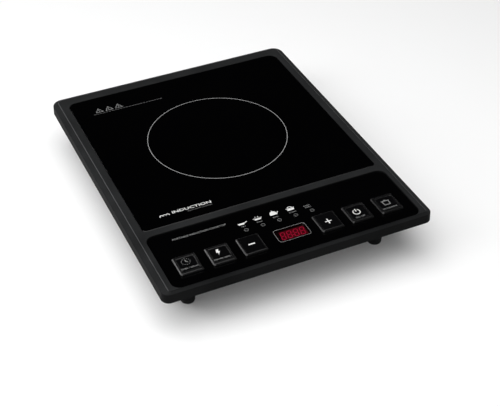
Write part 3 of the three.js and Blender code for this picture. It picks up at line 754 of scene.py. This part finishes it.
def outlet_slots(bm):
    """Upright air slots through the back wall and the rear of both side walls."""
    above_floor, below_rim, back_reach = 4 * MM, 6 * MM, 15 * MM
    low, high = TUB_FLOOR + above_floor, BASE_HIGH.z - below_rim
    for i in range(BACK_SLOTS):
        x = BACK_SLOTS_START + i * SLOT_PITCH
        prism(bm, rect(x, BASE_HIGH.y - back_reach, x + SLOT_WIDTH, BASE_HIGH.y + MM), low, high)
    # Each side slot is cut by a block from just outside the rim to well inside the leaning wall.
    outside, inside = 1.01, 0.84
    for i in range(SIDE_SLOTS):
        y = SIDE_SLOTS_START + i * SLOT_PITCH
        for edge in (BASE_LOW.x, BASE_HIGH.x):
            left, right = sorted((edge * outside, edge * inside))
            prism(bm, rect(left, y, right, y + SLOT_WIDTH), low, high)


def inlet_slots(bm):
    """Rings of air slots under the fan, with three bridges."""
    centre = node_centre("fan_housing")
    for number in range(INLET_RINGS):
        radius = INLET_RADIUS + number * INLET_PITCH
        bridge_angle = math.degrees(BRIDGE_WIDTH / radius)
        for start in THIRDS:
            first, last = start + bridge_angle / 2, start + 120 - bridge_angle / 2
            outer = arc(centre, radius + INLET_WIDTH, first, last, 14)
            inner = arc(centre, radius, last, first, 14)
            prism(bm, outer + inner, TUB_BOTTOM - MM, TUB_FLOOR + MM)


def screw_foot_and_gland_holes(bm):
    screw_hole, stem_hole, gland_hole = 2 * MM, FOOT_STEM + GAP, GLAND_SLEEVE + GAP
    for corner in CORNER_NAMES:
        screw, foot = node_centre(f"screw_{corner}"), node_centre(f"foot_{corner}")
        prism(bm, circle(screw, screw_hole, 20), TUB_BOTTOM - MM, TUB_FLOOR + MM)
        prism(bm, circle(foot, stem_hole, 20), 0, TUB_FLOOR + 4 * MM)
    reach_in, reach_out = 20 * MM, 10 * MM
    front, back = BASE_HIGH.y - reach_in, BASE_HIGH.y + reach_out
    profile = [(0, front), (gland_hole, front), (gland_hole, back), (0, back)]
    lathe(bm, profile, node_centre("cord_gland"), 24, axis="y")


def build_base():
    """Tub with rounded lower edges, pads and posts, air slots and holes."""
    bm = bmesh.new()
    sections = []
    for inset, drop in reversed(rounding(TUB_EDGE)):
        height = TUB_BOTTOM + drop
        sections.append((tub_outline(height, inset), height))
    rim = BASE_HIGH.z
    sections.append((tub_outline(rim), rim))
    sections.append((tub_outline(rim, WALL), rim))
    sections.append((tub_outline(TUB_FLOOR, WALL), TUB_FLOOR))
    underside, inside = loft(bm, sections)
    fill(bm, underside)
    fill(bm, inside)
    base = mesh_object("base_tub", bm, FINISHES["base_plastic"])
    combine(base, "UNION", add_tub_posts)
    for tool in (outlet_slots, inlet_slots, screw_foot_and_gland_holes):
        combine(base, "DIFFERENCE", tool)
    return place(base, "housing", "base_plastic", "base_housing")


def build_feet():
    for corner in CORNER_NAMES:
        low, high = node_box(f"foot_{corner}")
        radius = (high.x - low.x) / 2
        soft = 0.3 * MM
        profile = [
            (0, 0), (radius - 1.2 * MM, 0), (radius - 0.4 * MM, 0.3 * MM), (radius, 1.1 * MM),
            (radius, FOOT_HEIGHT - soft), (radius - soft, FOOT_HEIGHT),
            (FOOT_STEM, FOOT_HEIGHT), (FOOT_STEM, high.z), (0, high.z),
        ]
        bm = bmesh.new()
        lathe(bm, profile, (low + high) / 2, 48)
        foot = new_object(f"rubber_foot_{corner}", bm, FINISHES["soft_rubber"])
        place(foot, "housing", "soft_rubber", f"foot_{corner}")


def build_gland():
    """Bush through the back wall; the mains cord itself isn't part of the model."""
    low, high = node_box("cord_gland")
    centre = (low + high) / 2
    front, back = low.y, high.y
    flange = (high.z - low.z) / 2
    flange_front = back - 3.2 * MM
    soft = 0.4 * MM
    profile = [
        (GLAND_BORE, front), (GLAND_SLEEVE, front), (GLAND_SLEEVE, flange_front), (flange, flange_front),
        (flange, back - 1.4 * MM), (flange - soft, back - 0.5 * MM), (flange - 1.3 * MM, back),
        (GLAND_BORE + soft, back), (GLAND_BORE, back - soft), (GLAND_BORE, front),
    ]
    bm = bmesh.new()
    lathe(bm, profile, centre, 48, axis="y")
    place(new_object("cord_bush", bm, FINISHES["soft_rubber"]), "housing", "soft_rubber", "cord_gland")


# ---------------------------------------------------------------- prints

INK = 0.04 * MM
SHARPEST_MITRE = 0.35


def ribbon(points, width, closed=False):
    """Left and right edges of a line of a given width, with mitred bends."""
    count = len(points)
    left, right = [], []
    for i, point in enumerate(points):
        here = Vector(point)
        before = Vector(points[(i - 1) % count]) if closed or i > 0 else None
        after = Vector(points[(i + 1) % count]) if closed or i < count - 1 else None
        directions = [(here - before).normalized()] if before is not None else []
        if after is not None:
            directions.append((after - here).normalized())
        along = sum(directions, Vector((0, 0))).normalized()
        across = Vector((-along.y, along.x))
        reach = width / 2 / max(SHARPEST_MITRE, abs(along.dot(directions[0])))
        left.append(here + across * reach)
        right.append(here - across * reach)
    return left, right


class Print:
    """Flat ink shapes of one printed mark, a little proud of their surface. Sizes are in millimetres."""

    def __init__(self, name, origin, surface):
        self.name = name
        self.origin = Vector(origin[:2])
        self.low, self.high = surface - INK, surface + INK
        self.bm = bmesh.new()

    def local(self, points):
        return [self.origin + Vector(point) * MM for point in points]

    def area(self, points):
        """Filled outline, given counter-clockwise."""
        prism(self.bm, self.local(points), self.low, self.high)

    def line(self, points, width):
        left, right = ribbon(points, width)
        self.area([*right, *reversed(left)])

    def loop(self, points, width):
        outer, inner = ribbon(points, width, closed=True)
        rings = []
        for edge in (outer, inner):
            placed = self.local(edge)
            rings.append(loft(self.bm, [(placed, self.low), (placed, self.high)]))
        for level in (0, 1):
            bridge(self.bm, rings[0][level], rings[1][level])

    def dot(self, centre, radius):
        self.area(circle(centre, radius, 16))

    def words(self, text, centre, width, height, weight=0.0):
        """Plain lettering for a generic word, stretched to a width and a height."""
        curve = bpy.data.curves.new(self.name + "_words", "FONT")
        curve.body = text
        curve.offset = weight
        curve.extrude = 0.1
        curve.resolution_u = 3
        letters = bpy.data.objects.new(curve.name, curve)
        bpy.context.collection.objects.link(letters)
        bpy.context.view_layer.update()
        mesh = bpy.data.meshes.new_from_object(letters)
        low, high = (Vector(map(pick, zip(*(vert.co for vert in mesh.vertices)))) for pick in (min, max))
        size = high - low
        spot = self.origin + Vector(centre) * MM
        target = Vector((spot.x, spot.y, (self.low + self.high) / 2))
        stretch = Matrix.Diagonal((width * MM / size.x, height * MM / size.y, 2 * INK / size.z, 1))
        mesh.transform(Matrix.Translation(target) @ stretch @ Matrix.Translation(-(low + high) / 2))
        self.bm.from_mesh(mesh)
        bpy.data.objects.remove(letters)
        bpy.data.curves.remove(curve)
        bpy.data.meshes.remove(mesh)

    def finish(self, material, body="housing", slot="white_plastic"):
        bmesh.ops.remove_doubles(self.bm, verts=self.bm.verts, dist=MERGE_DISTANCE)
        return place(new_object(self.name, self.bm, material), body, slot)


def build_zone_ring():
    radius, line_width, offset = 73.7, 0.6, 0.5 * MM
    zone = Print("zone_ring", (RING_CENTRE.x + offset, RING_CENTRE.y - offset), GLASS_TOP)
    zone.loop(circle((0, 0), radius, 160), line_width)
    zone.finish(GREY_INK)


def build_hazard_marks():
    """Three plain hazard triangles over a thin broken line, near the back left corner of the glass."""
    pitch = 11.1
    hazards = Print("hazard_marks", (GLASS_LOW.x + 28.1 * MM, GLASS_HIGH.y - 25 * MM), GLASS_TOP)
    for i in range(3):
        x = pitch * i
        hazards.loop([(x - 4, -3.2), (x + 4, -3.2), (x, 3.8)], 0.42)
        hazards.line([(x, -0.6), (x, 1.2)], 0.6)
        hazards.dot((x, -1.8), 0.35)
    hazards.finish(GREY_INK)
    rule = Print("hazard_rule", (GLASS_LOW.x + 20.8 * MM, GLASS_HIGH.y - 31.2 * MM), GLASS_TOP)
    dash, gap, dashes = 2.6, 0.7, 24
    for i in range(dashes):
        start = i * (dash + gap)
        rule.line([(start, 0), (start + dash, 0)], 0.5)
    rule.finish(FAINT_INK)


def build_coil_mark():
    """A coil pictogram with plain words, near the front left corner of the glass."""
    mark = Print("coil_mark", (GLASS_LOW.x + 27.4 * MM, GLASS_LOW.y + 15.4 * MM), GLASS_TOP)
    pitch, radius = 3.1, 1.7
    for i in range(3):
        mark.line(arc((pitch * (i - 1), -0.6), radius, 205, -25, 10), 0.9)
    mark.words("INDUCTION", (28.6, 1.1), 40.6, 3.7, weight=0.01)
    mark.finish(WHITE_INK)
    note = Print("coil_mark_note", (GLASS_LOW.x + 69 * MM, GLASS_LOW.y + 12.2 * MM), GLASS_TOP)
    note.words("SINGLE ZONE COOKTOP", (-6, 0), 26, 1.4)
    note.finish(FAINT_INK)


def pan_symbol(mark):
    mark.area([(-3.4, -1.2), (2, -1.2), (3, 1.2), (-4.4, 1.2)])
    mark.line([(2.6, 0.7), (5.6, 1.9)], 0.9)


def pot_symbol(mark):
    mark.area([(-3.2, -2), (3.2, -2), (3.6, 1), (-3.6, 1)])
    mark.line([(-4.6, 0.4), (4.6, 0.4)], 0.8)
    for x in (-1.4, 1.4):
        mark.line([(x, 1.9), (x, 3.2)], 0.6)


def kettle_symbol(mark):
    mark.area([(-4, -2.2), (3.6, -2.2), (3.4, 0), *arc((-0.2, 0), 3.4, 20, 160, 10), (-3.8, 0)])
    mark.line([(3.2, -0.8), (5.4, 1.4)], 0.9)
    mark.dot((-0.2, 3.9), 0.6)


def lidded_pot_symbol(mark):
    mark.area([(-3.4, -2.2), (3.4, -2.2), (3.8, 0.2), (-3.8, 0.2)])
    mark.line([(-4.4, 1), (4.4, 1)], 0.7)
    mark.line(arc((0, 0.4), 2.8, 150, 30, 8), 0.7)


def build_programme_prints():
    """Four programme symbols and a fifth short text over the light guides, with generic words."""
    # A word, its symbol, and the symbol's place beside its light guide.
    programmes = (
        ("FRY", pan_symbol, -0.1, 9.6),
        ("STEW", pot_symbol, -0.9, 11),
        ("BOIL", kettle_symbol, -1.3, 11.3),
        ("STEAM", lidded_pot_symbol, -0.8, 11),
    )
    letter_width, letter_height, word_rise = 1.5, 1.4, 5.6
    for i, (word, symbol, x, y) in enumerate(programmes, 1):
        guide = node_centre(f"light_guide_{i}")
        mark = Print(f"programme_mark_{i}", (guide.x + x * MM, guide.y + y * MM), PANEL_TOP)
        symbol(mark)
        mark.finish(WHITE_INK)
        label = Print(f"programme_word_{i}", (guide.x + x * MM, guide.y + word_rise * MM), PANEL_TOP)
        label.words(word, (0, 0), letter_width * len(word), letter_height)
        label.finish(SMALL_INK)
    guide = node_centre("light_guide_5")
    label = Print("programme_word_5", (guide.x - 1.6 * MM, guide.y + 6.1 * MM), PANEL_TOP)
    label.words("KEEP", (0, 2.6), 6.6, 1.6)
    label.words("WARM", (0, 0), 6.6, 1.6)
    label.finish(SMALL_INK)
    for i in GUIDE_NUMBERS:
        lamp = Print(f"lamp_ring_{i}", node_centre(f"light_guide_{i}"), PANEL_TOP)
        lamp.loop(circle((0, 0), 1.95, 28), 0.22)
        lamp.finish(SMALL_INK)
    caption = Print("panel_caption", (PANEL_LOW.x + 51.1 * MM, PANEL_HIGH.y - 11.8 * MM), PANEL_TOP)
    caption.words("PORTABLE INDUCTION COOKTOP", (0, 0), 54.9, 2.3)
    caption.finish(SMALL_INK)


def timer_symbol(mark):
    for angle in range(0, 360, 30):
        mark.dot(arc((0, 0), 4.2, angle, angle, 1)[0], 0.32)
    mark.line([(0, 2.6), (0, 0), (1.8, -0.9)], 0.5)


def bolt_symbol(mark):
    mark.area([
        (-2.1, -0.6), (-0.2, -0.6), (-1, -4), (2.1, 0.9), (0.5, 0.9), (1.6, 4), (-0.9, 4),
    ])


def minus_symbol(mark):
    mark.line([(-3.3, 0), (3.3, 0)], 1.6)


def plus_symbol(mark):
    side, end, half = 3.3, 3.6, 0.55
    mark.area([
        (-half, -end), (half, -end), (half, -half), (side, -half), (side, half), (half, half),
        (half, end), (-half, end), (-half, half), (-side, half), (-side, -half), (-half, -half),
    ])


def power_symbol(mark):
    mark.line(arc((0, 0), 3.5, 122, 418, 28), 0.85)
    mark.line([(0, 0.6), (0, 4.6)], 0.85)


def pan_outline_symbol(mark):
    mark.line([(-3.4, 3.2), (-3, -2.6), (3, -2.6), (3.4, 3.2)], 0.55)
    mark.line([(-4.4, 3.2), (4.4, 3.2)], 0.55)
    mark.line([(-1.2, 4.4), (1.2, 4.4)], 0.6)


KEY_LETTER_HEIGHT = 1.7
# For each key: its symbol, the symbol's place on the key, its ink, and its word with place and width.
KEY_PRINTS = {
    "timer": (timer_symbol, (-0.7, 3.2), GREY_INK, "TIMER / DELAY", (-0.3, -5.9), 17.2),
    "power_level": (bolt_symbol, (-0.9, 2.8), WHITE_INK, "POWER LEVEL", (-0.4, -6.5), 16.4),
    "minus": (minus_symbol, (-0.3, -0.3), WHITE_INK, "", (0, 0), 0),
    "plus": (plus_symbol, (-0.1, -1), WHITE_INK, "", (0, 0), 0),
    "on_off": (power_symbol, (-0.8, 0.4), WHITE_INK, "ON / OFF", (-0.6, -7.4), 10),
    "mode": (pan_outline_symbol, (-0.2, 0.3), GREY_INK, "PROGRAMME", (-0.4, -7.4), 15.2),
}


def build_key_prints():
    for key, (symbol, spot, ink, word, word_spot, width) in KEY_PRINTS.items():
        low, high = key_rect(key)
        centre, surface = (low + high) / 2, key_face_height(key) + INK
        mark = Print(f"symbol_{key}", (centre.x + spot[0] * MM, centre.y + spot[1] * MM), surface)
        symbol(mark)
        mark.finish(ink, f"{key}_key")
        if word:
            label = Print(f"word_{key}", centre, surface)
            label.words(word, word_spot, width, KEY_LETTER_HEIGHT)
            label.finish(SMALL_INK, f"{key}_key")


TRAY_FLOOR = LENS_HIGH.z - 1.6 * MM


def build_lens():
    """Display window: a dark tray, as its clear front is hard to see, with the digits on its floor."""
    bm = bmesh.new()
    rim, soft = 0.5 * MM, 0.1 * MM
    sections = [
        inset_rect(LENS_LOW, LENS_HIGH, 0, LENS_CORNER, LENS_LOW.z),
        inset_rect(LENS_LOW, LENS_HIGH, 0, LENS_CORNER, LENS_HIGH.z - soft),
        inset_rect(LENS_LOW, LENS_HIGH, soft, LENS_CORNER - soft, LENS_HIGH.z),
        inset_rect(LENS_LOW, LENS_HIGH, rim, LENS_CORNER - rim, LENS_HIGH.z),
        inset_rect(LENS_LOW, LENS_HIGH, rim, LENS_CORNER - rim, TRAY_FLOOR),
    ]
    underside, tray = loft(bm, sections)
    fill(bm, underside)
    fill(bm, tray)
    lens = new_object("display_lens", bm, FINISHES["display_red"])
    return place(lens, "housing", "display_red", "display_window")


def build_display_outline():
    """Thin white line round the display window."""
    centre = (LENS_LOW + LENS_HIGH) / 2
    half = (LENS_HIGH - LENS_LOW) / 2 / MM
    gap, corner, line_width = 0.65, 2.6, 0.24
    half_width, half_depth = half.x + gap, half.y + gap
    outline = Print("display_outline", centre, PANEL_TOP)
    outline.loop(round_rect(-half_width, -half_depth, half_width, half_depth, corner), line_width)
    outline.finish(GREY_INK)


def build_digits():
    """Four lit seven-segment digits with a colon, on a red haze."""
    centre = (LENS_LOW + LENS_HIGH) / 2
    haze_half_width, haze_half_depth, haze_corner = 13, 6.6, 0.8
    haze = Print("display_haze", (centre.x + 1.6 * MM, centre.y), TRAY_FLOOR)
    haze.area(round_rect(
        -haze_half_width, -haze_half_depth, haze_half_width, haze_half_depth, haze_corner,
    ))
    haze.finish(RED_HAZE, slot="display_red")

    digits = Print("display_digits", (centre.x + 0.8 * MM, centre.y), TRAY_FLOOR + INK)
    half_width, half_height = 2.0, 4.9
    stroke, slant, cut = 0.75, 0.16, 0.5

    def segment(x, *ends):
        digits.line([(x + px + slant * py, py) for px, py in ends], stroke)

    for x in (-10.1, -3.5, 3.5, 10.1):
        for level in (-half_height, 0, half_height):
            segment(x, (-half_width + cut, level), (half_width - cut, level))
        for side in (-half_width, half_width):
            segment(x, (side, -half_height + cut), (side, -cut))
            segment(x, (side, cut), (side, half_height - cut))
    for y in (-2, 2):
        digits.dot((slant * y, y), 0.5)
    digits.finish(RED_LIGHT, slot="display_red")


# ---------------------------------------------------------------- camera, light and floor

def build_camera():
    """Seen from the front left and above."""
    data = bpy.data.cameras.new("camera")
    camera = bpy.data.objects.new("camera", data)
    bpy.context.collection.objects.link(camera)
    azimuth, elevation, roll = (math.radians(angle) for angle in (-23.84, 38.32, -0.935))
    target = Vector((-15.63 * MM, -87.62 * MM, FRAME_TOP))
    distance = 1.10642
    back = Vector((
        math.sin(azimuth) * math.cos(elevation),
        -math.cos(azimuth) * math.cos(elevation),
        math.sin(elevation),
    ))
    level_right = Vector((math.cos(azimuth), math.sin(azimuth), 0))
    level_up = back.cross(level_right)
    right = level_right * math.cos(roll) + level_up * math.sin(roll)
    up = back.cross(right)
    camera.matrix_world = Matrix((
        (right.x, up.x, back.x, 0), (right.y, up.y, back.y, 0), (right.z, up.z, back.z, 0), (0, 0, 0, 1),
    ))
    camera.location = target + back * distance
    data.sensor_width = 36
    data.lens = 81.54
    data.clip_start, data.clip_end = 0.05, 50
    bpy.context.scene.camera = camera


def soft_box(name, position, target, width, height, power):
    light = bpy.data.lights.new(name, "AREA")
    light.shape = "RECTANGLE"
    light.size, light.size_y = width, height
    light.energy = power
    lamp = bpy.data.objects.new(name, light)
    bpy.context.collection.objects.link(lamp)
    lamp.location = position
    lamp.rotation_euler = (Vector(target) - Vector(position)).to_track_quat("-Z", "Y").to_euler()


def build_floor():
    """Wide pale floor. It glows faintly, as a white room lifts the shadows, and more so far away."""
    bm = bmesh.new()
    reach, glow_start, glow_full = 12, 0.6, 3.2
    fill(bm, ring(bm, rect(-reach, -reach, reach, reach), 0))
    material, shader = principled("floor", (0.86, 0.86, 0.86), 0.9, gloss=0.1)
    nodes, links = material.node_tree.nodes, material.node_tree.links
    distance = nodes.new("ShaderNodeVectorMath")
    distance.operation = "LENGTH"
    links.new(texture_place(material), distance.inputs[0])
    far = spread(material, distance.outputs["Value"], 0, 1, glow_start, glow_full)
    links.new(blend_colors(material, far, (0.07,) * 3, (0.85,) * 3), shader.inputs["Emission Color"])
    shader.inputs["Emission Strength"].default_value = 1
    mesh_object("floor", bm, material)


def build_world():
    """Pale at the horizon and almost black above."""
    world = bpy.data.worlds.new("studio")
    bpy.context.scene.world = world
    world.use_nodes = True
    nodes, links = world.node_tree.nodes, world.node_tree.links
    direction = nodes.new("ShaderNodeTexCoord")
    split = nodes.new("ShaderNodeSeparateXYZ")
    ramp = nodes.new("ShaderNodeValToRGB")
    for stop, position, tone in zip(ramp.color_ramp.elements, (0.14, 0.26), (0.9, 0.004)):
        stop.position = position
        stop.color = (tone, tone, tone, 1)
    links.new(direction.outputs["Generated"], split.inputs["Vector"])
    links.new(split.outputs["Z"], ramp.inputs["Fac"])
    links.new(ramp.outputs["Color"], nodes["Background"].inputs["Color"])


def build_lights():
    centre = (0, 0, 0.05)
    soft_box("overhead", (-0.35, -0.25, 1.5), centre, 2.4, 2.2, 44)
    soft_box("left_back", (-1.2, 1.35, 0.5), centre, 0.9, 0.26, 4.5)
    soft_box("left", (-1.6, 0, 1.0), centre, 1.0, 0.8, 7)
    bpy.context.scene.view_settings.view_transform = "Standard"


# ---------------------------------------------------------------- the whole object

build_camera()
build_floor()
build_world()
build_lights()
finish_frame_nodes()
build_cover()
build_cover_posts()
build_glass()
build_panel()
for key_name in KEY_NAMES:
    build_key(key_name)
    build_key_label(key_name)
build_light_guides()
build_base()
build_feet()
build_gland()
build_zone_ring()
build_hazard_marks()
build_coil_mark()
build_programme_prints()
build_key_prints()
build_lens()
build_display_outline()
build_digits()
